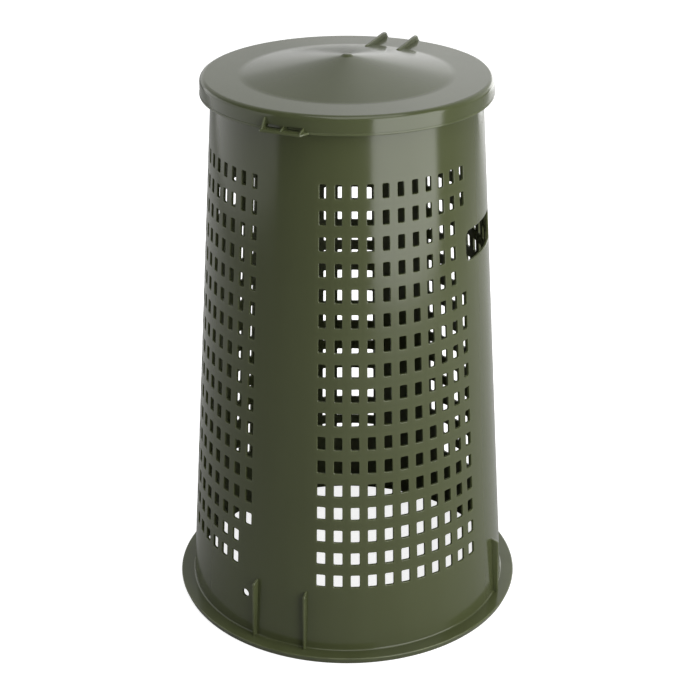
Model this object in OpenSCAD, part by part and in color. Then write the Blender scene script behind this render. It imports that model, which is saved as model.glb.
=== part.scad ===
// Insect trap housing: a tapered, perforated, open-based body with a hinged rain lid and a hanging lure cage.
// +Z is up and the origin is the centre of the base ring on the ground. Azimuth 0 faces -Y, 90 faces +X.

/* [Body wall] */
// Outer radius of the wall at the ground
wall_base_r = 121; // [119:0.5:123]
// Radius lost per millimetre of height
wall_taper = 0.068; // [0.066:0.001:0.070]
// Thickness of every moulded wall
wall_t = 2; // [1.8:0.1:2.2]
// Height of the collar's lip, which the lid rests above
body_h = 399.6; // [399.2:0.1:399.7]
// Height where the plain collar starts
collar_z = 362; // [358:1:366]
// Radius of the collar's lip
lip_r = 99; // [97:0.5:99.5]
// Height of the collar's lip
lip_h = 3.4; // [2:0.2:5]

/* [Perforations] */
// Rows of holes
rows = 17; // [12:1:17]
// Height of the lowest row's centres
bottom_row_z = 61.7; // [60:0.1:62.5]
// Height from one row to the next
row_pitch = 18; // [16:0.5:18]
// Height of a hole
hole_h = 9.8; // [6:0.2:10.4]
// Wall left between two columns
rib_w = 6.1; // [6:0.1:8]
// Angle from one column to the next
column_pitch = 6.133; // [6:0.01:6.14]
// Azimuth of the first column of a wide panel
wide_panel_az = -9.4; // [-9.6:0.1:-9.3]
// Azimuth of the first column of a narrow panel
narrow_panel_az = -94; // [-94.2:0.1:-93.8]
// Columns in a wide panel
wide_columns = 11; // [8:1:11]
// Columns in a narrow panel
narrow_columns = 10; // [8:1:10]

/* [Hand slots] */
// Azimuth of the middle of the right slot
slot_az = 68.9; // [68.5:0.1:69.2]
// Angle that a slot takes up
slot_angle = 29.4; // [24:0.2:29.6]
// Height of the middle of a slot
slot_z = 296; // [290:1:300]
// Height of a slot
slot_h = 22; // [18:1:24]
// Corner radius of a slot
slot_corner_r = 5; // [3:0.5:8]

/* [Foot] */
// Outer radius of the base flange
flange_r = 131.2; // [130.8:0.2:133]
// Outer radius of the flange's turned-down edge at the ground
flange_foot_r = 129.4; // [128.6:0.2:130]
// Height of the flange's top
flange_z = 5.2; // [4.6:0.2:6.4]
// Thickness of the flange
flange_t = 2.4; // [2:0.2:2.6]
// Outer radius of the gusset fins at the flange
fin_r = 124.2; // [123:0.2:126]
// Outer radius of the gusset fins at their top
fin_top_r = 123; // [122:0.2:124]
// Height of a fin at its outer edge
fin_outer_h = 50; // [40:0.5:53]
// Height of a fin at the wall
fin_wall_h = 52; // [42:0.5:57]
// Azimuth midway between the two fins at the front
fin_pair_az = -24.4; // [-26:0.1:-23]
// Angle from that azimuth to each of the two fins
fin_spread = 9.6; // [7:0.1:10]
// Azimuth of a peg hole
peg_hole_az = -39.2; // [-40:0.1:-37.5]
// Height of the peg holes
peg_hole_z = 35.8; // [30:0.2:42]
// Radius of the peg holes
peg_hole_r = 3; // [2:0.5:4]

/* [Lid] */
// Azimuth of the finger tab, opposite the hinge
latch_az = -23.5; // [-24.2:0.1:-23]
// Height of the lid's flat rim
lid_top_z = 402; // [402:0.1:402.4]
// Outer radius of the lid's flat rim
lid_flat_r = 98.2; // [98:0.1:98.6]
// Radius where the central cone starts
cone_r = 73.5; // [68:0.5:78]
// Rise of the central cone
cone_rise = 12.6; // [10:0.2:14]
// Bottom of the lid's skirt
skirt_z = 389.2; // [388:0.1:390]
// Outer radius of the skirt at its bottom
skirt_r = 101.8; // [101.6:0.1:102]
// How far the skirt's bottom bead stands proud
bead_out = 0.3; // [0.2:0.1:0.6]
// Height of the bottom bead, and thickness of the finger tab
bead_h = 1.6; // [1.2:0.1:2]
// Width of the finger tab
tab_w = 30; // [24:1:34]
// Distance of the tab's front edge from the lid's axis
tab_r = 108; // [106:0.5:111]
// Height of the tab's left rib at the skirt
tab_rib_h = 7; // [4:0.5:8]
// Height of the tab's other two ribs at the skirt
tab_low_rib_h = 2.6; // [2:0.2:4]

/* [Hinge] */
// Distance of the hinge pin from the body's axis
hinge_r = 110; // [109.5:0.1:111]
// Height of the hinge pin
hinge_z = 392; // [391.5:0.1:392.5]
// Radius of the hinge pin
pin_r = 2; // [1.5:0.1:2.4]
// Radial running clearance of the lid's arms on the pin
pin_clearance = 0.06; // [0.03:0.01:0.1]
// Radius of every hinge eye
eye_r = 4.5; // [4:0.1:5]
// Distance of each arm's middle from the hinge's centre plane
arm_offset = 12.3; // [12.1:0.1:13]
// Thickness of an arm
arm_t = 2.4; // [2:0.1:2.6]
// Thickness of a body lug
lug_t = 3; // [2.4:0.1:3.2]
// Gap between an arm and its lug
lug_gap = 0.4; // [0.3:0.1:0.6]

/* [Lure] */
// Height of the pin that the lure hangs on
hang_z = 402; // [401:0.2:403]
// Radius of the hanging pin
hang_pin_r = 1.5; // [1.2:0.1:1.8]
// Outer radius of the lure cage
cage_r = 14; // [12:0.5:16]
// Height of the lure cage
cage_h = 48; // [40:1:50]
// Wall thickness of the lure cage
cage_t = 1.6; // [1.4:0.1:2]
// Windows round the lure cage
cage_windows = 8; // [5:1:9]
// Radius of the lure's stopper body
lure_r = 4.6; // [3.5:0.1:5]
// Height of the lure's stopper
lure_h = 17; // [12:0.5:20]

/* [Hidden] */
$fn = 96;

housing_colour = [0.27, 0.29, 0.18];
lid_colour = [0.31, 0.33, 0.21];
steel_colour = [0.72, 0.73, 0.74];
cage_colour = [0.86, 0.84, 0.76];
lure_colour = [0.72, 0.36, 0.24];

eps = 0.01;
// Longer than any wall is thick, so that a cutter passes through
through = 6;
half_turn = 180;
hinge_az = latch_az + half_turn;
// Share of a column's pitch that a panel has beyond its outer columns
panel_margin = 0.5;
// Angle kept between a slot band's edge and its slot
slot_margin = 0.5;
band_half = slot_angle / 2 + slot_margin;
// Row level with the slot, and how many rows beside it lose their nearest holes
slot_row = round((slot_z - bottom_row_z) / row_pitch);
wall_foot_z = flange_z - flange_t;
lid_t = wall_t;
cone_blend = 5;
arm_inner = arm_offset - arm_t / 2;
arm_outer = arm_offset + arm_t / 2;
lug_outer = arm_inner - lug_gap;
lug_inner = lug_outer - lug_t;
cap_z = 380;
cage_top = cap_z;
cage_bottom = cage_top - cage_h;
cage_inner_r = cage_r - cage_t;

function wall_r(z) = wall_base_r - wall_taper * z;
function column_half_angle(z) = atan(((wall_r(z) * column_pitch * PI / 180) - rib_w) / 2 / wall_r(z));

// Points of an arc, in the plane of a profile
function arc(cx, cy, r, a0, a1, steps) =
    [for (i = [0:steps]) let (a = a0 + (a1 - a0) * i / steps) [cx + r * cos(a), cy + r * sin(a)]];

// Turns a shape that is built along +X to an azimuth
module at_az(az) rotate([0, 0, az - 90]) children();

// The body wall between two azimuths, from the flange's underside to the collar
module wall_sector(az0, az1)
    at_az(az0) rotate_extrude(angle = az1 - az0)
        polygon([[wall_r(wall_foot_z) - wall_t, wall_foot_z], [wall_r(wall_foot_z), wall_foot_z],
                 [wall_r(collar_z), collar_z], [wall_r(collar_z) - wall_t, collar_z]]);

// The solid that the body wall's outside encloses, for trimming what is attached to it
module wall_filled(z0, z1)
    translate([0, 0, z0]) cylinder(h = z1 - z0, r1 = wall_r(z0), r2 = wall_r(z1));

// One hole through the wall, wider towards the ground as the columns spread
module hole(az, row) {
    z = bottom_row_z + row * row_pitch;
    half_w = wall_r(z) * tan(column_half_angle(z));
    at_az(az)
        translate([wall_r(z) - wall_t - through / 2, -half_w, z - hole_h / 2])
            cube([wall_t + through, 2 * half_w, hole_h]);
}

// A perforated panel. slot_column loses its holes beside the hand slot, and short_column its lowest two
module perforated_panel(first_az, columns, az0, az1, slot_column, short_column)
    difference() {
        wall_sector(az0, az1);
        for (column = [0:columns - 1], row = [0:rows - 1])
            if (!(column == slot_column && abs(row - slot_row) <= 1)
                && !(column == short_column && row <= 1))
                hole(first_az + column * column_pitch, row);
    }

module wide_panel(turn) {
    az0 = wide_panel_az - panel_margin * column_pitch;
    perforated_panel(wide_panel_az + turn, wide_columns, az0 + turn, slot_az - band_half + turn,
        wide_columns - 1, -1);
}

module narrow_panel(turn) {
    az1 = narrow_panel_az + (narrow_columns - 1 + panel_margin) * column_pitch;
    difference() {
        perforated_panel(narrow_panel_az + turn, narrow_columns, slot_az + band_half - half_turn + turn,
            az1 + turn, 0, narrow_columns - 1);
        at_az(peg_hole_az + turn)
            translate([wall_r(peg_hole_z) - through, 0, peg_hole_z])
                rotate([0, 90, 0]) cylinder(h = 2 * through, r = peg_hole_r);
    }
}

module front_right_panel() color(housing_colour) wide_panel(0);
module rear_left_panel() color(housing_colour) wide_panel(half_turn);
module front_left_panel() color(housing_colour) narrow_panel(0);
module rear_right_panel() color(housing_colour) narrow_panel(half_turn);

// The plain band between a narrow and a wide panel
module plain_band(turn)
    wall_sector(
        narrow_panel_az + (narrow_columns - 1 + panel_margin) * column_pitch + turn,
        wide_panel_az - panel_margin * column_pitch + turn);

module latch_band() color(housing_colour) plain_band(0);
module hinge_band() color(housing_colour) plain_band(half_turn);

// The hand slot's cutter, with rounded corners, standing across the wall
module slot_cutter() {
    half_w = wall_r(slot_z) * sin(slot_angle / 2);
    x0 = wall_r(slot_z) * cos(slot_angle / 2) - 2 * through;
    length = wall_r(slot_z) - x0 + 2 * through;
    translate([x0, 0, slot_z]) {
        translate([0, -half_w, -slot_h / 2 + slot_corner_r])
            cube([length, 2 * half_w, slot_h - 2 * slot_corner_r]);
        translate([0, -half_w + slot_corner_r, -slot_h / 2])
            cube([length, 2 * (half_w - slot_corner_r), slot_h]);
        for (y = [-1, 1], z = [-1, 1])
            translate([0, y * (half_w - slot_corner_r), z * (slot_h / 2 - slot_corner_r)])
                rotate([0, 90, 0]) cylinder(h = length, r = slot_corner_r);
    }
}

module slot_band(az)
    difference() {
        wall_sector(az - band_half, az + band_half);
        at_az(az) slot_cutter();
    }

module right_slot_band() color(housing_colour) slot_band(slot_az);
module left_slot_band() color(housing_colour) slot_band(slot_az + half_turn);

// Outline of the flange's outside: up its turned-down edge and in over its top to the wall
function flange_outside() = let (edge_blend = 0.8, foot_blend = 1, ground_blend = 0.4) concat(
    [[flange_foot_r - ground_blend, 0], [flange_foot_r, ground_blend]],
    arc(flange_r - edge_blend, flange_z - edge_blend, edge_blend, -15, 90, 5),
    [[wall_r(flange_z) + foot_blend, flange_z], [wall_r(flange_z + foot_blend), flange_z + foot_blend]]);

// The base flange: a flat plate round the wall's foot, with its outer edge turned down to the ground
module base_flange() {
    edge_t = 2;
    color(housing_colour)
    rotate_extrude()
        polygon(concat(
            [[wall_r(wall_foot_z), wall_foot_z], [flange_foot_r - edge_t, wall_foot_z], [flange_foot_r - edge_t, 0]],
            flange_outside()));
}

// A gusset between the wall and the flange, built along +X
module fin() {
    wall_depth = 3;
    corner = 1.5;
    inner_r = wall_r(fin_wall_h) - wall_depth;
    translate([0, wall_t / 2, 0]) rotate([90, 0, 0])
        linear_extrude(height = wall_t)
            polygon([[inner_r, 0], [fin_r, 0], [fin_top_r, fin_outer_h - corner],
                     [fin_top_r - corner, fin_outer_h], [inner_r, fin_wall_h]]);
}

module gusset_fins()
    color(housing_colour)
    for (turn = [0, half_turn], az = [fin_pair_az - fin_spread, fin_pair_az + fin_spread, slot_az])
        difference() {
            at_az(az + turn) fin();
            wall_filled(-eps, fin_wall_h + eps);
            rotate_extrude() polygon(concat([[0, 0]], flange_outside(), [[0, flange_z]]));
        }

// The plain top of the wall, with the lip that the lid closes over
module top_collar()
    color(housing_colour)
    rotate_extrude()
        polygon([[wall_r(collar_z) - wall_t, collar_z], [wall_r(collar_z), collar_z],
                 [wall_r(body_h - lip_h - 2), body_h - lip_h - 2], [lip_r - 0.6, body_h - lip_h],
                 [lip_r, body_h - lip_h + 0.6], [lip_r, body_h - 0.8], [lip_r - 0.8, body_h],
                 [wall_r(body_h) - wall_t, body_h]]);

// A plate in the radial plane of the hinge, at an offset along the pin
module hinge_plate(points, offset_y, thickness)
    translate([0, offset_y + thickness / 2, 0]) rotate([90, 0, 0])
        linear_extrude(height = thickness) polygon(points);

// A round eye on the hinge line
module hinge_eye(r, offset_y, thickness)
    translate([hinge_r, offset_y + thickness / 2, hinge_z]) rotate([90, 0, 0])
        cylinder(h = thickness, r = r);

module hinge_lugs() {
    lug_mid = (lug_inner + lug_outer) / 2;
    color(housing_colour)
    for (side = [-1, 1])
        difference() {
            at_az(hinge_az) {
                hinge_plate([[90, 368], [wall_r(368), 368], [hinge_r + eye_r * cos(-30), hinge_z + eye_r * sin(-30)],
                             [hinge_r - eye_r * sin(30), hinge_z - eye_r * cos(30) + 3.2],
                             [hinge_r - 6.5, skirt_z - 1.2], [90, skirt_z - 1.2]],
                    side * lug_mid, lug_t);
                hinge_eye(eye_r, side * lug_mid, lug_t);
            }
            wall_filled(collar_z, body_h);
            at_az(hinge_az) hinge_eye(pin_r, side * lug_mid, lug_t + 1);
        }
}

// The hinge pin, with a flat head beyond one arm
module hinge_pin() {
    head_gap = 0.3;
    head_t = 1.2;
    reach = arm_outer + head_gap;
    tail = 3.4;
    color(steel_colour)
    at_az(hinge_az) {
        translate([hinge_r, reach, hinge_z]) rotate([90, 0, 0]) cylinder(h = 2 * reach + tail, r = pin_r);
        translate([hinge_r, reach + head_t, hinge_z]) rotate([90, 0, 0]) cylinder(h = head_t, r = pin_r + 1.6);
    }
}

// The push-on ring that keeps the pin in its lugs
module pin_retainer() {
    ring_t = 2;
    gap = 0.3;
    color(steel_colour)
    at_az(hinge_az)
        difference() {
            translate([hinge_r, -arm_outer - gap, hinge_z]) rotate([90, 0, 0]) cylinder(h = ring_t, r = pin_r + 1.8);
            translate([hinge_r, 0, hinge_z]) rotate([90, 0, 0]) cylinder(h = 40, r = pin_r);
        }
}

// Outline of the lid's outside, from the flat rim's edge down the skirt
function skirt_outside() = let (edge_r = skirt_r - lid_flat_r) concat(
    arc(lid_flat_r, lid_top_z - edge_r, edge_r, 90, 0, 8),
    [[skirt_r, skirt_z + bead_h], [skirt_r + bead_out, skirt_z + bead_h],
     [skirt_r + bead_out, skirt_z + 0.4], [skirt_r + bead_out - 0.4, skirt_z]]);

// Height of the cone's outside above the flat rim; its foot is rounded over cone_blend
function cone_h(r) = cone_rise * (1 - r / cone_r);
function cone_foot() = [[cone_r + 0.8, lid_top_z], [cone_r - cone_blend, lid_top_z + 1.5 * cone_h(cone_r - cone_blend)]];

// Outline of the lid's top, from the rim in to the low moulding boss at the cone's tip
function crown_outside() = let (boss_r = 5.5, boss_h = 0.7, tip_z = lid_top_z + cone_rise) concat(
    [[lid_flat_r, lid_top_z]],
    cone_foot(),
    [[boss_r, lid_top_z + cone_h(boss_r)], [0.75 * boss_r, lid_top_z + cone_h(0.75 * boss_r) + boss_h / 2],
     [0.5 * boss_r, tip_z + boss_h / 2], [0, tip_z + boss_h]]);

// Flat rim and shallow cone
module lid_crown()
    color(lid_colour)
    rotate_extrude()
        polygon(concat(
            crown_outside(),
            [[0, lid_top_z + cone_rise - lid_t], cone_foot()[1] - [0, lid_t], cone_foot()[0] - [0, lid_t],
             [lid_flat_r, lid_top_z - lid_t]]));

// Everything under the crown's outside, for trimming the arms' inner ends
module crown_filled()
    rotate_extrude() polygon(concat(crown_outside(), [[0, lid_top_z - 4], [lid_flat_r, lid_top_z - 4]]));

// The turned-down edge of the lid
module lid_skirt()
    color(lid_colour)
    rotate_extrude()
        polygon(concat(
            skirt_outside(),
            [[skirt_r - lid_t + 0.4, skirt_z], [lid_flat_r + 1.2, lid_top_z - lid_t - 1],
             [lid_flat_r, lid_top_z - lid_t]]));

// Everything that the lid's outside encloses, for trimming what is attached to it
module lid_filled()
    rotate_extrude()
        polygon(concat([[0, lid_top_z]], skirt_outside(), [[0, skirt_z]]));

// The finger tab: a ledge at the skirt's bottom with a tall rib at its left end and two low ones
module finger_tab() {
    end_cut = 3;
    rib_t = 1.2;
    color(lid_colour)
    difference() {
        at_az(latch_az) {
            translate([0, 0, skirt_z]) linear_extrude(height = bead_h)
                polygon([[skirt_r - 6, -tab_w / 2 - end_cut], [tab_r - 0.6, -tab_w / 2], [tab_r, -tab_w / 2 + 0.8],
                         [tab_r, tab_w / 2 - 0.8], [tab_r - 0.6, tab_w / 2], [skirt_r - 6, tab_w / 2 + end_cut]]);
            for (rib = [[-1, tab_rib_h], [0, tab_low_rib_h], [1, tab_low_rib_h]])
                translate([0, rib[0] * (tab_w / 2 - 1.5) + rib_t / 2, skirt_z + bead_h]) rotate([90, 0, 0])
                    linear_extrude(height = rib_t)
                        polygon([[skirt_r - 6, 0], [tab_r - 0.8, 0], [skirt_r - 0.6, rib[1]], [skirt_r - 6, rib[1]]]);
        }
        lid_filled();
    }
}

// Two arms from the cone's edge over the rear rim to the hinge pin
module hinge_arms() {
    rise = 4;
    rim_r = 97;
    inner_r = cone_r - 12;
    color(lid_colour)
    for (side = [-1, 1])
        difference() {
            at_az(hinge_az) {
                hinge_plate(concat(
                        [[inner_r, lid_top_z + 1.6], [inner_r + 1, lid_top_z + 2.2], [rim_r - 4, lid_top_z + rise]],
                        arc(rim_r, lid_top_z + rise - 4.6, 5, 75, 20, 5),
                        [[hinge_r + eye_r * cos(30), hinge_z + eye_r * sin(30)],
                         [hinge_r - eye_r * cos(30), hinge_z - eye_r * sin(30)],
                         [hinge_r - eye_r - 0.6, hinge_z + 1], [skirt_r - 2, hinge_z + 3.4],
                         [skirt_r - 4, lid_top_z - 3], [inner_r, lid_top_z - 3]]),
                    side * arm_offset, arm_t);
                hinge_eye(eye_r, side * arm_offset, arm_t);
            }
            lid_filled();
            crown_filled();
            at_az(hinge_az) hinge_eye(pin_r + pin_clearance, side * arm_offset, arm_t + 1);
        }
}

// Two ears under the tip of the cone that hold the hanging pin
module hanger_bracket() {
    ear_t = 2.4;
    ear_w = 9;
    inner_gap = 3;
    color(lid_colour)
    difference() {
        for (side = [-1, 1])
            translate([side * (inner_gap + ear_t / 2) - ear_t / 2, -ear_w / 2, hang_z - 4.5])
                cube([ear_t, ear_w, 12]);
        translate([0, 0, lid_top_z + cone_rise - lid_t])
            rotate_extrude() polygon([[0, 0], [20, -20 * cone_rise / cone_r], [20, 10], [0, 10]]);
        translate([-10, 0, hang_z]) rotate([0, 90, 0]) cylinder(h = 20, r = hang_pin_r);
    }
}

module hanger_pin()
    color(steel_colour)
    translate([-6.2, 0, hang_z]) rotate([0, 90, 0]) cylinder(h = 12.4, r = hang_pin_r);

// The link that swings on the hanging pin and holds the cap
module lure_hanger() {
    link_t = 5;
    link_w = 6;
    color(cage_colour)
    difference() {
        union() {
            translate([-link_t / 2, 0, hang_z]) rotate([0, 90, 0]) cylinder(h = link_t, r = 3.6);
            translate([-link_t / 2, -link_w / 2, cap_z + 5]) cube([link_t, link_w, hang_z - cap_z - 5]);
        }
        translate([-link_t, 0, hang_z]) rotate([0, 90, 0]) cylinder(h = 2 * link_t, r = hang_pin_r + pin_clearance);
    }
}

// The cap that closes the cage: a disc with a plug that goes into the cage's mouth
module lure_cap() {
    fit_gap = 0.08;
    plug_h = 6;
    disc_h = 5;
    color(cage_colour)
    rotate_extrude()
        polygon([[0, cap_z + 2], [cage_inner_r - 2, cap_z + 2], [cage_inner_r - 2, cap_z - plug_h],
                 [cage_inner_r - fit_gap - 0.8, cap_z - plug_h], [cage_inner_r - fit_gap, cap_z - plug_h + 1],
                 [cage_inner_r - fit_gap, cap_z], [cage_r + 1, cap_z], [cage_r + 1, cap_z + disc_h - 1.4],
                 [cage_r, cap_z + disc_h], [0, cap_z + disc_h]]);
}

// The cage that holds the lure: a cup with tall windows round it and vents in its floor
module lure_cage() {
    floor_t = 2;
    band_h = 9;
    window_h = cage_h - 2 * band_h;
    window_w = 2 * PI * cage_r / cage_windows * 0.55;
    color(cage_colour)
    difference() {
        translate([0, 0, cage_bottom]) cylinder(h = cage_h, r = cage_r);
        translate([0, 0, cage_bottom + floor_t]) cylinder(h = cage_h, r = cage_inner_r);
        for (i = [0:cage_windows - 1])
            rotate([0, 0, i * 360 / cage_windows])
                translate([cage_inner_r - 2, -window_w / 2, cage_bottom + band_h])
                    cube([cage_t + 4, window_w, window_h]);
        for (i = [0:cage_windows - 1])
            rotate([0, 0, i * 360 / cage_windows])
                translate([8.5, 0, cage_bottom - 1]) cylinder(h = floor_t + 2, r = 1.2);
    }
}

// The lure: a rubber sleeve stopper that stands on the cage's floor and gives off the scent
module pheromone_lure() {
    floor_t = 2;
    cup_depth = 8;
    color(lure_colour)
    translate([0, 0, cage_bottom + floor_t])
        rotate_extrude()
            polygon([[0, 0], [lure_r - 0.6, 0], [lure_r, 0.6], [lure_r, lure_h - 4], [lure_r + 1.6, lure_h - 3.6],
                     [lure_r + 1.6, lure_h - 0.6], [lure_r + 1, lure_h], [lure_r - 1.8, lure_h],
                     [lure_r - 2.2, lure_h - cup_depth], [0, lure_h - cup_depth]]);
}

base_flange();
gusset_fins();
front_right_panel();
front_left_panel();
rear_right_panel();
rear_left_panel();
latch_band();
hinge_band();
right_slot_band();
left_slot_band();
top_collar();
hinge_lugs();
hinge_pin();
pin_retainer();
lid_crown();
lid_skirt();
finger_tab();
hinge_arms();
hanger_bracket();
hanger_pin();
lure_hanger();
lure_cap();
lure_cage();
pheromone_lure();
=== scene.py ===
"""Looks of the insect trap: the moulded housing, the lid, the hinge and the lure, in a plain studio."""

import math

import bmesh
import bpy
import numpy as np
from mathutils import Matrix, Vector


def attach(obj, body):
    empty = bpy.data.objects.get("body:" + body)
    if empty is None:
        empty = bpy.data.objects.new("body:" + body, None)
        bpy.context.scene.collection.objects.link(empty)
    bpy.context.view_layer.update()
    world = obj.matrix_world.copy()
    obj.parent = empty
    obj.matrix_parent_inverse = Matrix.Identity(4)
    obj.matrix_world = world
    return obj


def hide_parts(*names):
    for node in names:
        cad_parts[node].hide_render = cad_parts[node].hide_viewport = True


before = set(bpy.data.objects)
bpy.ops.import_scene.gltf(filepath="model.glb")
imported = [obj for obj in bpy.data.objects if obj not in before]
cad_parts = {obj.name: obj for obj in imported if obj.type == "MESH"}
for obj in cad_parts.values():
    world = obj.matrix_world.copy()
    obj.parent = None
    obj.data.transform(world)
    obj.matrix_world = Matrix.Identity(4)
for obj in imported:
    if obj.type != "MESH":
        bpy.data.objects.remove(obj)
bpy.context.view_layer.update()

# Sizes are in millimetres, and every mesh is scaled to metres when it is made.
MM = 0.001

# ---------------------------------------------------------------- the housing's wall
WALL_BASE_R = 121.0
WALL_TAPER = 0.068
WALL_T = 2.0
ROWS = 17
BOTTOM_ROW_Z = 61.7
ROW_PITCH = 18.0
HOLE_H = 9.8
RIB_W = 6.1
COLUMN_PITCH = 6.133
WIDE_PANEL_AZ = -9.4
NARROW_PANEL_AZ = -94.0
WIDE_COLUMNS = 11
NARROW_COLUMNS = 10
SLOT_AZ = 68.9
SLOT_ANGLE = 29.4
SLOT_Z = 296.0
SLOT_H = 22.0
SLOT_CORNER_R = 5.0
SLOT_MARGIN = 0.5
PEG_HOLE_AZ = -39.2
PEG_HOLE_Z = 35.8
PEG_HOLE_R = 3.0
PEG_CELL_HALF = 9.2
HOLE_CORNER_R = 0.7
HOLE_EDGE_R = 0.45
SLOT_EDGE_R = 0.7
PEG_EDGE_R = 0.5
# Heights where the plain wall starts above the foot and ends below the lip, and its rings between
FOOT_Z = 13.0
LOW_RING_Z = 17.8
COLLAR_RINGS_Z = (370.0, 380.0)
LIP_Z = 392.0
BODY_H = 399.6
LIP_H = 3.4
LIP_R = 99.0
LIP_SLOPE_H = 1.8
# Faces along each side of a hole's cell, and cells across each plain band
PER_CELL = 4
SLOT_BAND_CELLS = 5
PLAIN_BAND_CELLS = 4

# ---------------------------------------------------------------- the foot
FLANGE_Z = 5.2
FLANGE_T = 2.4
FLANGE_R = 131.4
FLANGE_FOOT_R = 129.4
FLANGE_EDGE_T = 2.0
FIN_R = 124.2
FIN_TOP_R = 123.0
FIN_OUTER_H = 50.0
FIN_WALL_H = 52.0
FIN_PAIR_AZ = -24.4
FIN_SPREAD = 9.6
FIN_CORNER_R = 2.0
FIN_SUNK = 0.6

# ---------------------------------------------------------------- the lid and the hinge
LATCH_AZ = -23.5
HINGE_AZ = LATCH_AZ + 180.0
LID_TOP_Z = 402.0
LID_T = 2.0
CONE_R = 73.5
CONE_RISE = 12.6
CONE_BLEND_R = 30.0
BOSS_R = 4.8
SKIRT_Z = 389.2
SKIRT_R = 101.8
SKIRT_T = 1.6
SKIRT_THICKENS = 0.8
SKIRT_EDGE_R = 3.6
WINDOW_H = 2.3
BEAD_OUT = 0.3
BEAD_H = 1.6
TAB_W = 30.0
TAB_R = 108.0
TAB_RIB_H = 7.0
TAB_LOW_RIB_H = 2.6
TAB_RIB_T = 1.2
TAB_RIB_INSET = 1.5
HINGE_R = 110.0
HINGE_Z = 392.0
PIN_R = 2.0
PIN_CLEARANCE = 0.06
PRESS_GAP = 0.01
EYE_R = 4.5
# Radius that a lug's or an arm's plate reaches round the pin, inside its eye's rounded rim
EYE_PLATE_R = 3.3
ARM_OFFSET = 12.3
ARM_T = 2.4
ARM_RISE = 4.0
ARM_RIM_R = 97.0
ARM_BEND_R = 5.0
LUG_T = 3.0
LUG_GAP = 0.4
LUG_OFFSET = ARM_OFFSET - ARM_T / 2 - LUG_GAP - LUG_T / 2
LUG_FOOT_Z = 366.0


def wall_r(z):
    """Outer radius of the housing's wall at a height."""
    return WALL_BASE_R - WALL_TAPER * z


def polar(r, az, z):
    """The point at a radius and azimuth, where azimuth 0 faces -Y and 90 faces +X."""
    a = math.radians(az)
    return (r * math.sin(a), -r * math.cos(a), z)


def direction(az, up=0.0):
    """Unit vector outwards at an azimuth, leaning up by the given slope."""
    return Vector(polar(1.0, az, up)).normalized()


class Shell:
    """Collects points with their normals and painted edge highlight, and the faces between them."""

    def __init__(self):
        self.points, self.normals, self.wear, self.faces = [], [], [], []

    def point(self, p, n, wear=0.0):
        self.points.append(p)
        self.normals.append(tuple(Vector(n).normalized()))
        self.wear.append(wear)
        return len(self.points) - 1

    def strip(self, a, b):
        """Quads between two closed rings of the same length."""
        for i in range(len(a)):
            j = (i + 1) % len(a)
            self.faces.append((a[i], a[j], b[j], b[i]))

    def strips(self, rings):
        """Quads between each ring and the next."""
        for a, b in zip(rings, rings[1:]):
            self.strip(a, b)

    def make(self, name, material):
        mesh = bpy.data.meshes.new(name)
        mesh.from_pydata([tuple(c * MM for c in p) for p in self.points], [], self.faces)
        bm = bmesh.new()
        bm.from_mesh(mesh)
        bmesh.ops.recalc_face_normals(bm, faces=bm.faces)
        bm.to_mesh(mesh)
        bm.free()
        mesh.polygons.foreach_set("use_smooth", [True] * len(mesh.polygons))
        # The painted edge highlight goes to the material as a point attribute.
        wear = mesh.attributes.new("wear", "FLOAT", "POINT")
        wear.data.foreach_set("value", self.wear)
        mesh.normals_split_custom_set_from_vertices(self.normals)
        mesh.materials.append(material)
        obj = bpy.data.objects.new(name, mesh)
        bpy.context.scene.collection.objects.link(obj)
        return obj


def rounded_outline(corners, closed=False, steps=4):
    """Rounds the corners (x, y, radius) of an outline into points (x, y, normal x, normal y, edge
    highlight).

    The normals point to the right of the way that the outline runs. A sharp, small outer corner gets a
    painted highlight, a paler colour for light catching its edge.
    """
    share_of_side, least_turn, largest_highlit_r = 0.49, 0.5, 1.5
    out = []
    count = len(corners)
    for i, (x, y, radius) in enumerate(corners):
        here = Vector((x, y))
        before = Vector(corners[i - 1][:2]) if closed or i else None
        after = Vector(corners[(i + 1) % count][:2]) if closed or i < count - 1 else None
        if before is None or after is None:
            way = (after - here if before is None else here - before).normalized()
            out.append((x, y, way.y, -way.x, 0.0))
            continue
        way_in, way_out = (here - before).normalized(), (after - here).normalized()
        turn = way_in.angle_signed(way_out)
        shorter = min((here - before).length, (after - here).length)
        reach = min(radius * abs(math.tan(turn / 2)), shorter * share_of_side)
        start = here - way_in * reach
        n_in, n_out = Vector((way_in.y, -way_in.x)), Vector((way_out.y, -way_out.x))
        real_r = reach / max(abs(math.tan(turn / 2)), 1e-6)
        outward = 1.0 if n_in.dot(way_out) < 0 else -1.0
        centre = start - n_in * real_r * outward
        # A sharp, small outer corner is marked for the painted highlight, weaker at the ends of its arc.
        highlit = outward > 0 and abs(turn) > least_turn and real_r < largest_highlit_r
        wear = 1.0 if highlit else 0.0
        for k in range(steps + 1):
            n = n_in.slerp(n_out, k / steps) if 0 < k < steps else (n_in if k == 0 else n_out)
            p = centre + n * real_r * outward
            out.append((p.x, p.y, n.x, n.y, wear if 0 < k < steps else wear * 0.4))
    return out


def revolve_profile(shell, profile, azimuths):
    """Rings of a profile of (r, z, normal r, normal z, edge highlight) round the Z axis; returns the
    rings.
    """
    return [
        [shell.point(polar(r, az, z), polar(nr, az, nz), wear) for az in azimuths]
        for r, z, nr, nz, wear in profile
    ]


# ---------------------------------------------------------------- materials
def node_tree(name):
    """A new material, its nodes and links, and its shader."""
    material = bpy.data.materials.new(name)
    material.use_nodes = True
    nodes = material.node_tree.nodes
    return material, nodes, material.node_tree.links, nodes["Principled BSDF"]


def object_coords(nodes):
    return nodes.new("ShaderNodeTexCoord").outputs["Object"]


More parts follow.
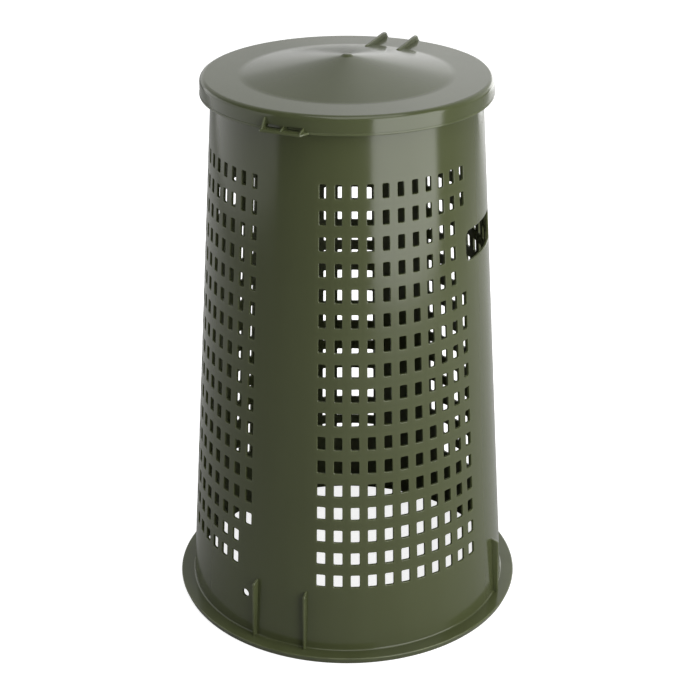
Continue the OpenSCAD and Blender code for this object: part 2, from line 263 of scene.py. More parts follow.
def noise(nodes, links, coords, scale, detail, stretch=None):
    """A noise texture, optionally with its coordinates scaled along each axis."""
    source = coords
    if stretch:
        mapping = nodes.new("ShaderNodeMapping")
        mapping.inputs["Scale"].default_value = stretch
        links.new(coords, mapping.inputs["Vector"])
        source = mapping.outputs["Vector"]
    texture = nodes.new("ShaderNodeTexNoise")
    texture.inputs["Scale"].default_value = scale
    texture.inputs["Detail"].default_value = detail
    links.new(source, texture.inputs["Vector"])
    return texture.outputs["Fac"]


def ramp(nodes, links, value, low, high, to_low, to_high):
    """Maps a value from low..high to to_low..to_high, clamped."""
    node = nodes.new("ShaderNodeMapRange")
    for socket, number in zip(node.inputs[1:5], (low, high, to_low, to_high)):
        socket.default_value = number
    links.new(value, node.inputs["Value"])
    return node.outputs["Result"]


def combine(nodes, links, kind, a, b):
    """A math node on two sockets or numbers."""
    node = nodes.new("ShaderNodeMath")
    node.operation = kind
    for socket, source in zip(node.inputs, (a, b)):
        if isinstance(source, (int, float)):
            socket.default_value = source
        else:
            links.new(source, socket)
    return node.outputs["Value"]


def mixed(nodes, links, factor, a, b):
    """A colour mix; a and b are colours or sockets."""
    node = nodes.new("ShaderNodeMix")
    node.data_type = "RGBA"
    links.new(factor, node.inputs["Factor"])
    for socket, source in ((node.inputs[6], a), (node.inputs[7], b)):
        if isinstance(source, tuple):
            socket.default_value = (*source, 1.0)
        else:
            links.new(source, socket)
    return node.outputs[2]


def bumped(nodes, links, shader, layers):
    """Chains bump nodes: layers of (height socket, strength, distance in metres)."""
    previous = None
    for height, strength, distance in layers:
        bump = nodes.new("ShaderNodeBump")
        bump.inputs["Strength"].default_value = strength
        bump.inputs["Distance"].default_value = distance
        links.new(height, bump.inputs["Height"])
        if previous:
            links.new(previous, bump.inputs["Normal"])
        previous = bump.outputs["Normal"]
    links.new(previous, shader.inputs["Normal"])


def moulded_plastic(name, base, pale, dark, roughness):
    """Moulded polypropylene: cloudy tone, faint flow marks up the wall, fine grain, and a painted
    highlight: marked edges paler in patches, and a little rougher.
    """
    material, nodes, links, shader = node_tree(name)
    coords = object_coords(nodes)
    cloud = noise(nodes, links, coords, 9.0, 4.0)
    flow = noise(nodes, links, coords, 30.0, 3.0, (1.0, 1.0, 0.08))
    fine = noise(nodes, links, coords, 1500.0, 2.0)
    scuff = noise(nodes, links, coords, 55.0, 6.0)
    tone = mixed(nodes, links, ramp(nodes, links, cloud, 0.3, 0.7, 0.0, 1.0), dark, base)
    tone = mixed(nodes, links, ramp(nodes, links, flow, 0.35, 0.75, 0.0, 0.35), tone, pale)
    # Painted highlight: marked edges are mixed towards a brighter pale colour, standing in for light
    # catching them.
    highlit = nodes.new("ShaderNodeAttribute")
    highlit.attribute_name = "wear"
    patchy = ramp(nodes, links, scuff, 0.35, 0.65, 0.35, 1.0)
    painted_highlight = combine(nodes, links, "MULTIPLY", highlit.outputs["Fac"], patchy)
    painted_highlight = combine(nodes, links, "MULTIPLY", painted_highlight, 0.55)
    tone = mixed(nodes, links, painted_highlight, tone, tuple(min(1.0, c * 1.7) for c in pale))
    links.new(tone, shader.inputs["Base Color"])
    rough = ramp(nodes, links, scuff, 0.3, 0.75, roughness - 0.02, roughness + 0.03)
    rough = combine(nodes, links, "ADD", rough, combine(nodes, links, "MULTIPLY", painted_highlight, 0.10))
    links.new(rough, shader.inputs["Roughness"])
    shader.inputs["IOR"].default_value = 1.49
    bumped(nodes, links, shader, [(fine, 0.10, 0.00012), (cloud, 0.10, 0.0006), (scuff, 0.02, 0.0002)])
    return material


def plated_steel(name):
    """Zinc-plated wire: drawn lines along it and dull spots."""
    material, nodes, links, shader = node_tree(name)
    coords = object_coords(nodes)
    spots = noise(nodes, links, coords, 260.0, 5.0)
    lines = noise(nodes, links, coords, 1800.0, 2.0)
    share = ramp(nodes, links, spots, 0.35, 0.7, 0.0, 1.0)
    tone = mixed(nodes, links, share, (0.50, 0.51, 0.52), (0.66, 0.66, 0.65))
    links.new(tone, shader.inputs["Base Color"])
    links.new(ramp(nodes, links, spots, 0.3, 0.7, 0.28, 0.48), shader.inputs["Roughness"])
    shader.inputs["Metallic"].default_value = 1.0
    bumped(nodes, links, shader, [(lines, 0.12, 0.00005)])
    return material


def natural_plastic(name):
    """Off-white unpigmented plastic of the lure cage, slightly waxy and yellowed."""
    material, nodes, links, shader = node_tree(name)
    coords = object_coords(nodes)
    cloud = noise(nodes, links, coords, 70.0, 4.0)
    fine = noise(nodes, links, coords, 1800.0, 2.0)
    share = ramp(nodes, links, cloud, 0.3, 0.7, 0.0, 1.0)
    tone = mixed(nodes, links, share, (0.62, 0.58, 0.46), (0.72, 0.69, 0.58))
    links.new(tone, shader.inputs["Base Color"])
    links.new(ramp(nodes, links, cloud, 0.3, 0.7, 0.36, 0.5), shader.inputs["Roughness"])
    shader.inputs["Subsurface Weight"].default_value = 0.12
    shader.inputs["Subsurface Scale"].default_value = 0.002
    bumped(nodes, links, shader, [(fine, 0.10, 0.0001)])
    return material


def lure_rubber(name):
    """Red-brown rubber with a dusty bloom."""
    material, nodes, links, shader = node_tree(name)
    coords = object_coords(nodes)
    bloom = noise(nodes, links, coords, 240.0, 6.0)
    fine = noise(nodes, links, coords, 2600.0, 2.0)
    share = ramp(nodes, links, bloom, 0.4, 0.75, 0.0, 0.5)
    tone = mixed(nodes, links, share, (0.36, 0.10, 0.05), (0.50, 0.26, 0.18))
    links.new(tone, shader.inputs["Base Color"])
    links.new(ramp(nodes, links, bloom, 0.3, 0.7, 0.62, 0.85), shader.inputs["Roughness"])
    bumped(nodes, links, shader, [(fine, 0.25, 0.0001), (bloom, 0.15, 0.0003)])
    return material


HOUSING = moulded_plastic(
    "housing_plastic", base=(0.067, 0.077, 0.032), pale=(0.079, 0.091, 0.041), dark=(0.061, 0.070, 0.029),
    roughness=0.16)
LID = moulded_plastic(
    "lid_plastic", base=(0.070, 0.081, 0.035), pale=(0.082, 0.095, 0.044), dark=(0.064, 0.074, 0.032),
    roughness=0.14)
STEEL = plated_steel("pin_steel")
CAGE = natural_plastic("cage_plastic")
RUBBER = lure_rubber("lure_rubber")


# ---------------------------------------------------------------- the housing
def hole_half_width(z):
    """Half the width of a hole, which leaves the same rib between columns at every height."""
    return (wall_r(z) * math.radians(COLUMN_PITCH) - RIB_W) / 2


def cell_outline(half_w, half_h, corner_r, across, up, arc):
    """A rounded rectangle with as many points as a cell's edge has, from the lower left.

    Each point is (u, v, normal u, normal v).
    """
    points = []
    centre_u, centre_v = half_w - corner_r, half_h - corner_r
    sides = ((-1, -1, 225, across), (1, -1, 315, up), (1, 1, 45, across), (-1, 1, 135, up))
    for k, (su, sv, mid_angle, count) in enumerate(sides):
        nu, nv = sides[(k + 1) % 4][:2]
        for i in range(count):
            if i <= arc or i >= count - arc:
                at_start = i <= arc
                cu, cv = (su, sv) if at_start else (nu, nv)
                middle = mid_angle if at_start else mid_angle + 90
                share = i if at_start else i - count
                angle = math.radians(middle + 45 * share / arc)
                n = (math.cos(angle), math.sin(angle))
                points.append((cu * centre_u + corner_r * n[0], cv * centre_v + corner_r * n[1], *n))
            else:
                t = (i - arc) / (count - 2 * arc)
                angle = math.radians(mid_angle + 45)
                n = (round(math.cos(angle)), round(math.sin(angle)))
                u0, v0 = su * centre_u + corner_r * n[0], sv * centre_v + corner_r * n[1]
                u1, v1 = nu * centre_u + corner_r * n[0], nv * centre_v + corner_r * n[1]
                points.append((u0 + (u1 - u0) * t, v0 + (v1 - v0) * t, *n))
    return points


def wall_columns():
    """The columns of cells round the wall: (start azimuth, end azimuth, (kind, place), hole's azimuth)."""
    cells = []
    half = COLUMN_PITCH / 2
    band_half = SLOT_ANGLE / 2 + SLOT_MARGIN

    def panel(first, count, start, end, name):
        edges = [start] + [first + half + COLUMN_PITCH * i for i in range(count - 1)] + [end]
        for i in range(count):
            cells.append((edges[i], edges[i + 1], (name, i), first + COLUMN_PITCH * i))

    def band(start, end, count, name):
        width = (end - start) / count
        for i in range(count):
            cells.append((start + width * i, start + width * (i + 1), (name, i), None))

    for turn in (0.0, 180.0):
        wide_start = WIDE_PANEL_AZ - half + turn
        narrow_first = NARROW_PANEL_AZ + 180.0 + turn
        narrow_end = narrow_first + COLUMN_PITCH * (NARROW_COLUMNS - 1) + half
        panel(WIDE_PANEL_AZ + turn, WIDE_COLUMNS, wide_start, SLOT_AZ - band_half + turn, "wide")
        band(SLOT_AZ - band_half + turn, SLOT_AZ + band_half + turn, SLOT_BAND_CELLS, "slot")
        panel(narrow_first, NARROW_COLUMNS, SLOT_AZ + band_half + turn, narrow_end, "narrow")
        band(narrow_end, wide_start + 180.0, PLAIN_BAND_CELLS, "plain")
    return cells


def wall_hole(shell, outer, inner, centre_az, centre_z, outline, edge_r):
    """Joins the outside and inside edges of a cell, both rings of points, by a hole with rounded edges."""

    def ring(depth, grow, weights, wear):
        out_weight, side_weight = weights
        made = []
        for u, v, nu, nv in outline:
            z = centre_z + v + grow * nv
            r = wall_r(z) - depth
            side = u + grow * nu
            az = centre_az + math.degrees(math.asin(side / r))
            tangent = Vector((math.cos(math.radians(centre_az)), math.sin(math.radians(centre_az)), 0.0))
            toward_middle = -(tangent * nu + Vector((0, 0, 1)) * nv)
            normal = direction(az, WALL_TAPER) * out_weight + toward_middle * side_weight
            made.append(shell.point(polar(r, az, z), normal, wear))
        return made

    inner_edge = edge_r * 0.5
    # How far the middle of the rounded edge is from both faces
    mid_edge = edge_r * 0.293
    # The rounded outer edge of each hole carries the painted highlight, strongest at its middle.
    rings = [
        outer,
        ring(0.0, edge_r, (1, 0), 0.15),
        ring(mid_edge, mid_edge, (1, 1), 1.0),
        ring(edge_r, 0.0, (0, 1), 0.5),
        ring(WALL_T - inner_edge, 0.0, (0, 1), 0.0),
        ring(WALL_T, inner_edge, (-1, 0), 0.0),
        inner,
    ]
    shell.strips(rings)


def collar_outline():
    """The collar: a lip that turns out under the lid, from the outside up and over to the inside."""
    lip_low_z = BODY_H - LIP_H
    slope_z = lip_low_z - LIP_SLOPE_H
    return rounded_outline([
        (wall_r(LIP_Z), LIP_Z, 0),
        (wall_r(slope_z), slope_z, 1.6),
        (LIP_R, lip_low_z, 0.6),
        (LIP_R, BODY_H, 0.9),
        (wall_r(BODY_H) - WALL_T, BODY_H, 0.6),
        (wall_r(LIP_Z) - WALL_T, LIP_Z, 0),
    ])


def foot_outline():
    """The foot, from the inside down and out under the flange, round its turned-down edge and back in."""
    under_z = FLANGE_Z - FLANGE_T
    edge_in_r = FLANGE_FOOT_R - FLANGE_EDGE_T
    return rounded_outline([
        (wall_r(FOOT_Z) - WALL_T, FOOT_Z, 0),
        (wall_r(under_z) - WALL_T, under_z, 0.5),
        (edge_in_r, under_z, 0.6),
        (edge_in_r, 0, 0.3),
        (FLANGE_FOOT_R, 0, 0.5),
        (FLANGE_R, FLANGE_Z, 0.8),
        (wall_r(FLANGE_Z), FLANGE_Z, 1.2),
        (wall_r(FOOT_Z), FOOT_Z, 0),
    ])


def circle_outline(r, count):
    """A circle in a cell's plane, from the lower left: (u, v, normal u, normal v)."""
    points = []
    for i in range(count):
        angle = math.radians(225 + 360 * i / count)
        n = (math.cos(angle), math.sin(angle))
        points.append((r * n[0], r * n[1], *n))
    return points


def housing_wall():
    """The whole housing in one mesh: perforated wall, collar with its lip, and base flange."""
    shell = Shell()
    columns = wall_columns()
    azimuths = []
    for start, end, _, _ in columns:
        azimuths += [start + (end - start) * i / PER_CELL for i in range(PER_CELL)]
    around = len(azimuths)
    peg_low = PEG_HOLE_Z - PEG_CELL_HALF
    rows_low = BOTTOM_ROW_Z - ROW_PITCH / 2
    heights = [FOOT_Z, LOW_RING_Z]
    heights += [peg_low + 2 * PEG_CELL_HALF * i / PER_CELL for i in range(PER_CELL + 1)]
    heights += [rows_low + ROW_PITCH * i / PER_CELL for i in range(ROWS * PER_CELL + 1)]
    heights += [*COLLAR_RINGS_Z, LIP_Z]
    peg_row = heights.index(peg_low)
    first_row = heights.index(rows_low)

    def sheet(offset, sign):
        grid = []
        for z in heights:
            r = wall_r(z) - offset
            ring = [shell.point(polar(r, az, z), direction(az, WALL_TAPER) * sign) for az in azimuths]
            grid.append(ring)
        return grid

    outside, inside = sheet(0.0, 1), sheet(WALL_T, -1)

    def edge_ring(grid, a0, z0, across, up):
        ring = [grid[z0][(a0 + i) % around] for i in range(across)]
        ring += [grid[z0 + i][(a0 + across) % around] for i in range(up)]
        ring += [grid[z0 + up][(a0 + across - i) % around] for i in range(across)]
        ring += [grid[z0 + up - i][a0 % around] for i in range(up)]
        return ring

    done = np.zeros((len(heights) - 1, around), bool)

    def punch(a0, z0, across, up, centre_az, centre_z, outline, edge_r):
        outer, inner = edge_ring(outside, a0, z0, across, up), edge_ring(inside, a0, z0, across, up)
        wall_hole(shell, outer, inner, centre_az, centre_z, outline, edge_r)
        for dz in range(up):
            for da in range(across):
                done[z0 + dz][(a0 + da) % around] = True

    slot_row = round((SLOT_Z - BOTTOM_ROW_Z) / ROW_PITCH)
    slot_half_w = wall_r(SLOT_Z) * math.sin(math.radians(SLOT_ANGLE / 2))
    for index, (_, _, (kind, place), centre) in enumerate(columns):
        a0 = index * PER_CELL
        turn = 0.0 if index < len(columns) / 2 else 180.0
        if kind == "slot" and place == 0:
            across, up = SLOT_BAND_CELLS * PER_CELL, 3 * PER_CELL
            outline = cell_outline(slot_half_w, SLOT_H / 2, SLOT_CORNER_R, across, up, 3)
            z0 = first_row + (slot_row - 1) * PER_CELL
            punch(a0, z0, across, up, SLOT_AZ + turn, SLOT_Z, outline, SLOT_EDGE_R)
        if kind not in ("wide", "narrow"):
            continue
        beside_slot = place == (WIDE_COLUMNS - 1 if kind == "wide" else 0)
        above_peg = kind == "narrow" and place == NARROW_COLUMNS - 1
        for row in range(ROWS):
            if (beside_slot and abs(row - slot_row) <= 1) or (above_peg and row <= 1):
                continue
            z = BOTTOM_ROW_Z + ROW_PITCH * row
            outline = cell_outline(hole_half_width(z), HOLE_H / 2, HOLE_CORNER_R, PER_CELL, PER_CELL, 1)
            punch(a0, first_row + row * PER_CELL, PER_CELL, PER_CELL, centre, z, outline, HOLE_EDGE_R)
        if above_peg:
            peg_az = PEG_HOLE_AZ + 180.0 + turn
            outline = circle_outline(PEG_HOLE_R, 4 * PER_CELL)
            punch(a0, peg_row, PER_CELL, PER_CELL, peg_az, PEG_HOLE_Z, outline, PEG_EDGE_R)

    for zi in range(len(heights) - 1):
        for ai in range(around):
            if done[zi][ai]:
                continue
            an = (ai + 1) % around
            low, high = outside[zi], outside[zi + 1]
            shell.faces.append((low[ai], low[an], high[an], high[ai]))
            low, high = inside[zi], inside[zi + 1]
            shell.faces.append((low[ai], high[ai], high[an], low[an]))

    collar = revolve_profile(shell, collar_outline()[1:-1], azimuths)
    shell.strips([outside[-1]] + collar + [inside[-1]])
    foot = revolve_profile(shell, foot_outline()[1:-1], azimuths)
    shell.strips([inside[0]] + foot + [outside[0]])
    return shell.make("housing_body", HOUSING)


# ---------------------------------------------------------------- plates: fins, lugs and arms
def plate(name, outline, thickness, place, material, edge_r):
    """A flat plate with rounded edges, from an outline in XZ, centred on Y and placed by a matrix."""
    bm = bmesh.new()
    low = [bm.verts.new((x, -thickness / 2, z)) for x, z in outline]
    face = bm.faces.new(low)
    grown = bmesh.ops.extrude_face_region(bm, geom=[face])
    moved = [g for g in grown["geom"] if isinstance(g, bmesh.types.BMVert)]
    bmesh.ops.translate(bm, verts=moved, vec=(0, thickness, 0))
    bmesh.ops.recalc_face_normals(bm, faces=bm.faces)
    rims = [e for e in bm.edges if len(e.link_faces) == 2 and e.calc_face_angle() > 0.6]
    bmesh.ops.bevel(
        bm, geom=rims, offset=edge_r, segments=3, profile=0.5, affect="EDGES", clamp_overlap=True)
    bm.transform(Matrix.Scale(MM, 4) @ place)
    mesh = bpy.data.meshes.new(name)
    bm.to_mesh(mesh)
    bm.free()
    mesh.polygons.foreach_set("use_smooth", [True] * len(mesh.polygons))
    mesh.set_sharp_from_angle(angle=math.radians(35))
    # Every point of a plate carries half of the painted edge highlight.
    wear = mesh.attributes.new("wear", "FLOAT", "POINT")
    wear.data.foreach_set("value", [0.5] * len(mesh.vertices))
    mesh.materials.append(material)
    obj = bpy.data.objects.new(name, mesh)
    bpy.context.scene.collection.objects.link(obj)
    return obj


def at_azimuth(az, sideways=0.0):
    """Turns a shape that is built along +X to an azimuth, after moving it sideways."""
    return Matrix.Rotation(math.radians(az - 90), 4, "Z") @ Matrix.Translation((0, sideways, 0))


def joined(name, objects):
    """One object out of several of the same material."""
    bm = bmesh.new()
    for obj in objects:
        bm.from_mesh(obj.data)
    mesh = objects[0].data.copy()
    mesh.name = name
    bm.to_mesh(mesh)
    bm.free()
    for obj in objects:
        bpy.data.objects.remove(obj)
    made = bpy.data.objects.new(name, mesh)
    bpy.context.scene.collection.objects.link(made)
    return made


def arc_points(cx, cz, r, start, end, steps):
    """Points of an arc in a plate's plane, with angles in degrees from +X towards +Z."""
    angles = [math.radians(start + (end - start) * i / steps) for i in range(steps + 1)]
    return [(cx + r * math.cos(a), cz + r * math.sin(a)) for a in angles]


def gusset_fins():
    """Six thin gussets between the wall and the flange."""
    root, foot_z = WALL_T / 2, FLANGE_Z - FIN_SUNK
    outline = [(wall_r(foot_z) - root, foot_z), (FIN_R, foot_z)]
    outline += arc_points(FIN_TOP_R - FIN_CORNER_R, FIN_OUTER_H - FIN_CORNER_R, FIN_CORNER_R, 0, 84, 6)
    outline += [(wall_r(FIN_WALL_H) - root, FIN_WALL_H)]
    azimuths = [FIN_PAIR_AZ - FIN_SPREAD, FIN_PAIR_AZ + FIN_SPREAD, SLOT_AZ]
    fins = [
        plate("fin", outline, WALL_T, at_azimuth(az + turn), HOUSING, 0.7)
        for turn in (0, 180) for az in azimuths
    ]
    return joined("gussets", fins)


def eye(name, offset, thickness, bore, material):
    """A ring round the hinge line, with rounded rims."""
    shell = Shell()
    profile = rounded_outline([
        (bore, -thickness / 2, 0.25), (EYE_R, -thickness / 2, 0.5), (EYE_R, thickness / 2, 0.5),
        (bore, thickness / 2, 0.25)], closed=True, steps=3)
    place = at_azimuth(HINGE_AZ, offset)
    rings = []
    steps = 40
    for r, y, nr, ny, wear in profile:
        ring = []
        for i in range(steps):
            a = 2 * math.pi * i / steps
            p = place @ Vector((HINGE_R + r * math.cos(a), y, HINGE_Z + r * math.sin(a)))
            n = place.to_3x3() @ Vector((nr * math.cos(a), ny, nr * math.sin(a)))
            ring.append(shell.point(tuple(p), tuple(n), wear))
        rings.append(ring)
    shell.strips(rings + rings[:1])
    return shell.make(name, material)


def hinge_lugs():
    """The two lugs under the rear rim that hold the pin."""
    root = WALL_T / 2
    foot_r, chamfer, under_skirt_z = wall_r(368) - root, 2.0, SKIRT_Z - 2.0
    outline = [(foot_r, LUG_FOOT_Z), (foot_r + chamfer, LUG_FOOT_Z + chamfer)]
    outline += arc_points(HINGE_R, HINGE_Z, EYE_PLATE_R, -40, -20, 2)
    outline += arc_points(HINGE_R, HINGE_Z, EYE_PLATE_R, 140, 200, 4)
    outline += [(HINGE_R - 7.0, SKIRT_Z - 1.6), (HINGE_R - 9.0, under_skirt_z)]
    outline += [(wall_r(386) - root, under_skirt_z)]
    made = []
    for side in (-1, 1):
        offset = side * LUG_OFFSET
        made.append(plate("lug", outline, LUG_T, at_azimuth(HINGE_AZ, offset), HOUSING, 0.4))
        made.append(eye("lug_eye", offset, LUG_T, PIN_R + PRESS_GAP, HOUSING))
    return joined("hinge_lug_pair", made)


def hinge_arms():
    """The two arms that run from the cone's edge over the rear rim down to the pin."""
    top_z = LID_TOP_Z + ARM_RISE
    outline = [(CONE_R - 12.0, LID_TOP_Z + 1.1), (CONE_R - 10.6, LID_TOP_Z + 2.2)]
    outline += [(ARM_RIM_R - 4.0, top_z - 0.1)]
    outline += arc_points(ARM_RIM_R - 0.4, top_z - ARM_BEND_R, ARM_BEND_R, 78, 20, 7)
    outline += arc_points(HINGE_R, HINGE_Z, EYE_PLATE_R, 38, -10, 4)
    outline += arc_points(HINGE_R, HINGE_Z, EYE_PLATE_R, 190, 160, 3)
    outline += [(SKIRT_R + 0.6, HINGE_Z + 4.2), (SKIRT_R - 1.4, HINGE_Z + 5.0)]
    outline += [(SKIRT_R - 2.6, LID_TOP_Z - 1.2), (CONE_R, LID_TOP_Z - 0.9)]
    made = []
    for side in (-1, 1):
        offset = side * ARM_OFFSET
        made.append(plate("arm", outline, ARM_T, at_azimuth(HINGE_AZ, offset), LID, 0.7))
        made.append(eye("arm_eye", offset, ARM_T, PIN_R + PIN_CLEARANCE, LID))
    return joined("hinge_arm_pair", made)


# ---------------------------------------------------------------- the lid
def lid_shell():
    """Flat rim, shallow cone with its boss, and skirt with two windows above the finger tab."""
    shell = Shell()
    steps = 256
    azimuths = [LATCH_AZ + 360.0 * i / steps for i in range(steps)]
    tip_z, tip_r = LID_TOP_Z + CONE_RISE, 0.15
    boss_foot_z = tip_z - CONE_RISE / CONE_R * BOSS_R
    ceiling_z = LID_TOP_Z - LID_T
    bead_r, bead_top_z = SKIRT_R + BEAD_OUT, SKIRT_Z + BEAD_H
    window_low = bead_top_z + 0.1
    window_high = window_low + WINDOW_H

    def skirt_in(z):
        return SKIRT_R - SKIRT_T - SKIRT_THICKENS * (z - SKIRT_Z) / (ceiling_z - SKIRT_Z)

    # From the middle of the underside out, down and round the bottom bead, up the skirt and over the top.
    inside = rounded_outline([
        (tip_r, tip_z - LID_T, 0),
        (CONE_R, ceiling_z, 14.0),
        (skirt_in(ceiling_z), ceiling_z, 0.8),
        (skirt_in(window_high), window_high, 0),
    ])
    bead = rounded_outline([
        (skirt_in(window_low), window_low, 0),
        (skirt_in(SKIRT_Z), SKIRT_Z, 0.4),
        (bead_r, SKIRT_Z, 0.5),
        (bead_r, bead_top_z, 0.2),
        (SKIRT_R, bead_top_z, 0.05),
        (SKIRT_R, window_low, 0),
    ])
    outside = rounded_outline([
        (SKIRT_R, window_high, 0),
        (SKIRT_R, LID_TOP_Z, SKIRT_EDGE_R),
        (CONE_R, LID_TOP_Z, CONE_BLEND_R),
        (BOSS_R, boss_foot_z, 2.5),
        (BOSS_R / 2, tip_z + 0.5, 2.0),
        (tip_r, tip_z + 0.65, 0),
    ])
    under = revolve_profile(shell, inside, azimuths)
    lower = revolve_profile(shell, bead, azimuths)
    upper = revolve_profile(shell, outside, azimuths)
    for group in (under, lower, upper):
        shell.strips(group)
    shell.faces.append(tuple(under[0]))
    shell.faces.append(tuple(upper[-1]))

    # The skirt between the window heights, left open over the two windows beside the middle rib.
    windows = [(1, 5), (steps - 5, steps - 1)]
    for i in range(steps):
        j = (i + 1) % steps
        if any(a <= i < b for a, b in windows):
            shell.faces.append((under[-1][i], under[-1][j], upper[0][j], upper[0][i]))
            shell.faces.append((lower[0][i], lower[0][j], lower[-1][j], lower[-1][i]))
        else:
            shell.faces.append((under[-1][i], under[-1][j], lower[0][j], lower[0][i]))
            shell.faces.append((lower[-1][i], lower[-1][j], upper[0][j], upper[0][i]))
    for sides in windows:
        for i in sides:
            shell.faces.append((under[-1][i], lower[0][i], lower[-1][i], upper[0][i]))
    return shell.make("lid_cover", LID)


def finger_tab():
    """The ledge at the bottom of the skirt, with three thin ribs above it."""
    in_r, half, chamfer = SKIRT_R - 0.8, TAB_W / 2, 1.0
    right_side = [(TAB_R, half - chamfer), (TAB_R - chamfer, half)]
    right_side += [(in_r + 1.8, half + 1.2), (in_r - 1.6, half + 3.0)]
    left_side = [(x, -y) for x, y in reversed(right_side)]
    outline = left_side + right_side + arc_points(0, 0, in_r, 9, -9, 10)
    flat = Matrix.Rotation(math.radians(-90), 4, "X")
    lift = Matrix.Translation((0, 0, SKIRT_Z + BEAD_H / 2))
    made = [plate("ledge", outline, BEAD_H, at_azimuth(LATCH_AZ) @ lift @ flat, LID, 0.5)]
    base = SKIRT_Z + BEAD_H - 0.3
    side_y = half - TAB_RIB_INSET
    for y, height in ((-side_y, TAB_RIB_H), (0.0, TAB_LOW_RIB_H), (side_y, TAB_LOW_RIB_H)):
        rib = [(in_r - 0.6, base), (TAB_R - 0.9, base), (TAB_R - 1.4, base + 0.7)]
        rib += [(SKIRT_R + 0.1, base + height), (in_r - 0.6, base + height)]
        made.append(plate("rib", rib, TAB_RIB_T, at_azimuth(LATCH_AZ, y), LID, 0.35))
    return joined("lid_finger_tab", made)


# ---------------------------------------------------------------- building and placing
def stands_for(obj, body, slot, *nodes):
    """Puts a detailed piece on its body, in place of the CAD nodes that it shows."""
    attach(obj, body)
    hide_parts(*nodes)


stands_for(
    housing_wall(), "housing", "housing_plastic",
    "base_flange", "top_collar", "front_right_panel", "front_left_panel", "rear_right_panel",
    "rear_left_panel", "latch_band", "hinge_band", "right_slot_band", "left_slot_band")
stands_for(gusset_fins(), "housing", "housing_plastic", "gusset_fins")
stands_for(hinge_lugs(), "housing", "housing_plastic", "hinge_lugs")
stands_for(lid_shell(), "lid", "lid_plastic", "lid_crown", "lid_skirt")
stands_for(finger_tab(), "lid", "lid_plastic", "finger_tab")
stands_for(hinge_arms(), "lid", "lid_plastic", "hinge_arms")


def dress(node, material, edge_mm):
    """Gives a CAD node its material and softly rounded edges."""
    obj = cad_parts[node]
    obj.data.materials.clear()
    obj.data.materials.append(material)
    bevel = obj.modifiers.new("edges", "BEVEL")
    bevel.width = edge_mm * MM
    bevel.segments = 2
    bevel.limit_method = "ANGLE"
    bevel.angle_limit = math.radians(40)
    bevel.harden_normals = False


dress("hinge_pin", STEEL, edge_mm=0.25)
dress("pin_retainer", STEEL, edge_mm=0.2)
dress("hanger_pin", STEEL, edge_mm=0.2)
dress("hanger_bracket", LID, edge_mm=0.4)
dress("lure_hanger", CAGE, edge_mm=0.3)
dress("lure_cap", CAGE, edge_mm=0.25)
dress("lure_cage", CAGE, edge_mm=0.25)
dress("pheromone_lure", RUBBER, edge_mm=0.25)


# ---------------------------------------------------------------- studio
def studio_floor():
    """A pale floor: a lit white table to the camera, and to everything else a diffuse card with painted
    shade, darker towards the front and paler behind.
    """
    bpy.ops.mesh.primitive_plane_add(size=24.0, location=(0, 0, 0))
    floor = bpy.context.object
    floor.name = "studio_floor"
    material = bpy.data.materials.new("studio_floor")
    material.use_nodes = True
    nodes, links = material.node_tree.nodes, material.node_tree.links
    nodes.clear()
    out = nodes.new("ShaderNodeOutputMaterial")
    card = nodes.new("ShaderNodeBsdfDiffuse")
    split = nodes.new("ShaderNodeSeparateXYZ")
    links.new(object_coords(nodes), split.inputs[0])
    # Painted shade and light on the card: its colour runs from dark at the front to pale behind, shaping
    # what the housing reflects.
    links.new(ramp(nodes, links, split.outputs["Y"], -0.3, 0.5, 0.36, 0.80), card.inputs["Color"])
    glow = nodes.new("ShaderNodeEmission")
    glow.inputs["Color"].default_value = (1, 1, 1, 1)
    glow.inputs["Strength"].default_value = 0.85
    both = nodes.new("ShaderNodeAddShader")
    pick = nodes.new("ShaderNodeMixShader")
    path = nodes.new("ShaderNodeLightPath")
    links.new(card.outputs[0], both.inputs[0])
    links.new(glow.outputs[0], both.inputs[1])
    links.new(path.outputs["Is Camera Ray"], pick.inputs[0])
    links.new(card.outputs[0], pick.inputs[1])
    links.new(both.outputs[0], pick.inputs[2])
    links.new(pick.outputs[0], out.inputs["Surface"])
    floor.data.materials.append(material)


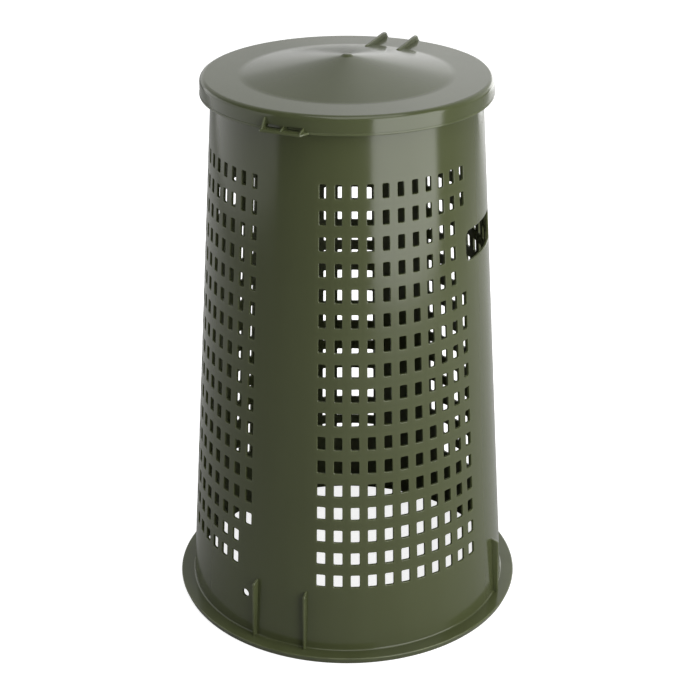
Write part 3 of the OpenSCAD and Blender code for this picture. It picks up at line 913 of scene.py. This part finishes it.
def studio_world():
    """White to the camera, and to the object a dim room that brightens behind, low and to the right."""
    world = bpy.data.worlds.new("studio")
    bpy.context.scene.world = world
    world.use_nodes = True
    nodes, links = world.node_tree.nodes, world.node_tree.links
    nodes.clear()
    out = nodes.new("ShaderNodeOutputWorld")
    coords = nodes.new("ShaderNodeTexCoord")
    split = nodes.new("ShaderNodeSeparateXYZ")
    links.new(coords.outputs["Generated"], split.inputs[0])
    back = ramp(nodes, links, split.outputs["Y"], 0.1, 0.7, 0.15, 0.80)
    behind = ramp(nodes, links, split.outputs["Y"], 0.1, 0.7, 0.0, 1.0)
    right = ramp(nodes, links, split.outputs["X"], -0.04, 0.05, 0.0, 0.42)
    low = ramp(nodes, links, split.outputs["Z"], 0.26, 0.31, 0.35, 0.0)
    extra = combine(nodes, links, "ADD", right, low)
    back = combine(nodes, links, "ADD", back, combine(nodes, links, "MULTIPLY", extra, behind))
    room = nodes.new("ShaderNodeBackground")
    links.new(back, room.inputs["Strength"])
    white = nodes.new("ShaderNodeBackground")
    white.inputs["Strength"].default_value = 1.0
    pick = nodes.new("ShaderNodeMixShader")
    path = nodes.new("ShaderNodeLightPath")
    links.new(path.outputs["Is Camera Ray"], pick.inputs[0])
    links.new(room.outputs[0], pick.inputs[1])
    links.new(white.outputs[0], pick.inputs[2])
    links.new(pick.outputs[0], out.inputs["Surface"])


def softbox(name, az, distance, height, width, tall, power, aim_z=0.2):
    """An area light at an azimuth, aimed at the object's axis."""
    light = bpy.data.lights.new(name, "AREA")
    light.shape = "RECTANGLE"
    light.size, light.size_y, light.energy = width, tall, power
    obj = bpy.data.objects.new(name, light)
    obj.location = polar(distance, az, height)
    obj.rotation_mode = "QUATERNION"
    obj.rotation_quaternion = (Vector((0, 0, aim_z)) - obj.location).to_track_quat("-Z", "Y")
    bpy.context.scene.collection.objects.link(obj)


studio_floor()
studio_world()
softbox("right_box", az=46.5, distance=0.95, height=0.52, width=1.0, tall=1.0, power=11.6, aim_z=0.52)
softbox("top_box", az=20, distance=0.5, height=1.7, width=1.2, tall=1.2, power=9.0)
softbox("rear_right_box", az=152, distance=1.3, height=0.34, width=0.7, tall=0.66, power=3.6)
softbox("left_box", az=-96, distance=1.0, height=0.40, width=1.7, tall=0.7, power=3.2, aim_z=0.40)


def photograph_camera():
    """The camera: 1.2 m away, 25.6 degrees above the horizontal."""
    distance, elevation, aim = 1.2024, math.radians(25.62), Vector((0.002, 0.0, 0.1898))
    back = Vector((0, -math.cos(elevation), math.sin(elevation)))
    data = bpy.data.cameras.new("camera")
    data.sensor_width = 36.0
    data.lens = 82.9
    data.clip_end = 100.0
    camera = bpy.data.objects.new("camera", data)
    camera.location = aim + back * distance
    camera.rotation_mode = "QUATERNION"
    camera.rotation_quaternion = (-back).to_track_quat("-Z", "Y")
    bpy.context.scene.collection.objects.link(camera)
    bpy.context.scene.camera = camera


photograph_camera()
bpy.context.scene.view_settings.view_transform = "Standard"
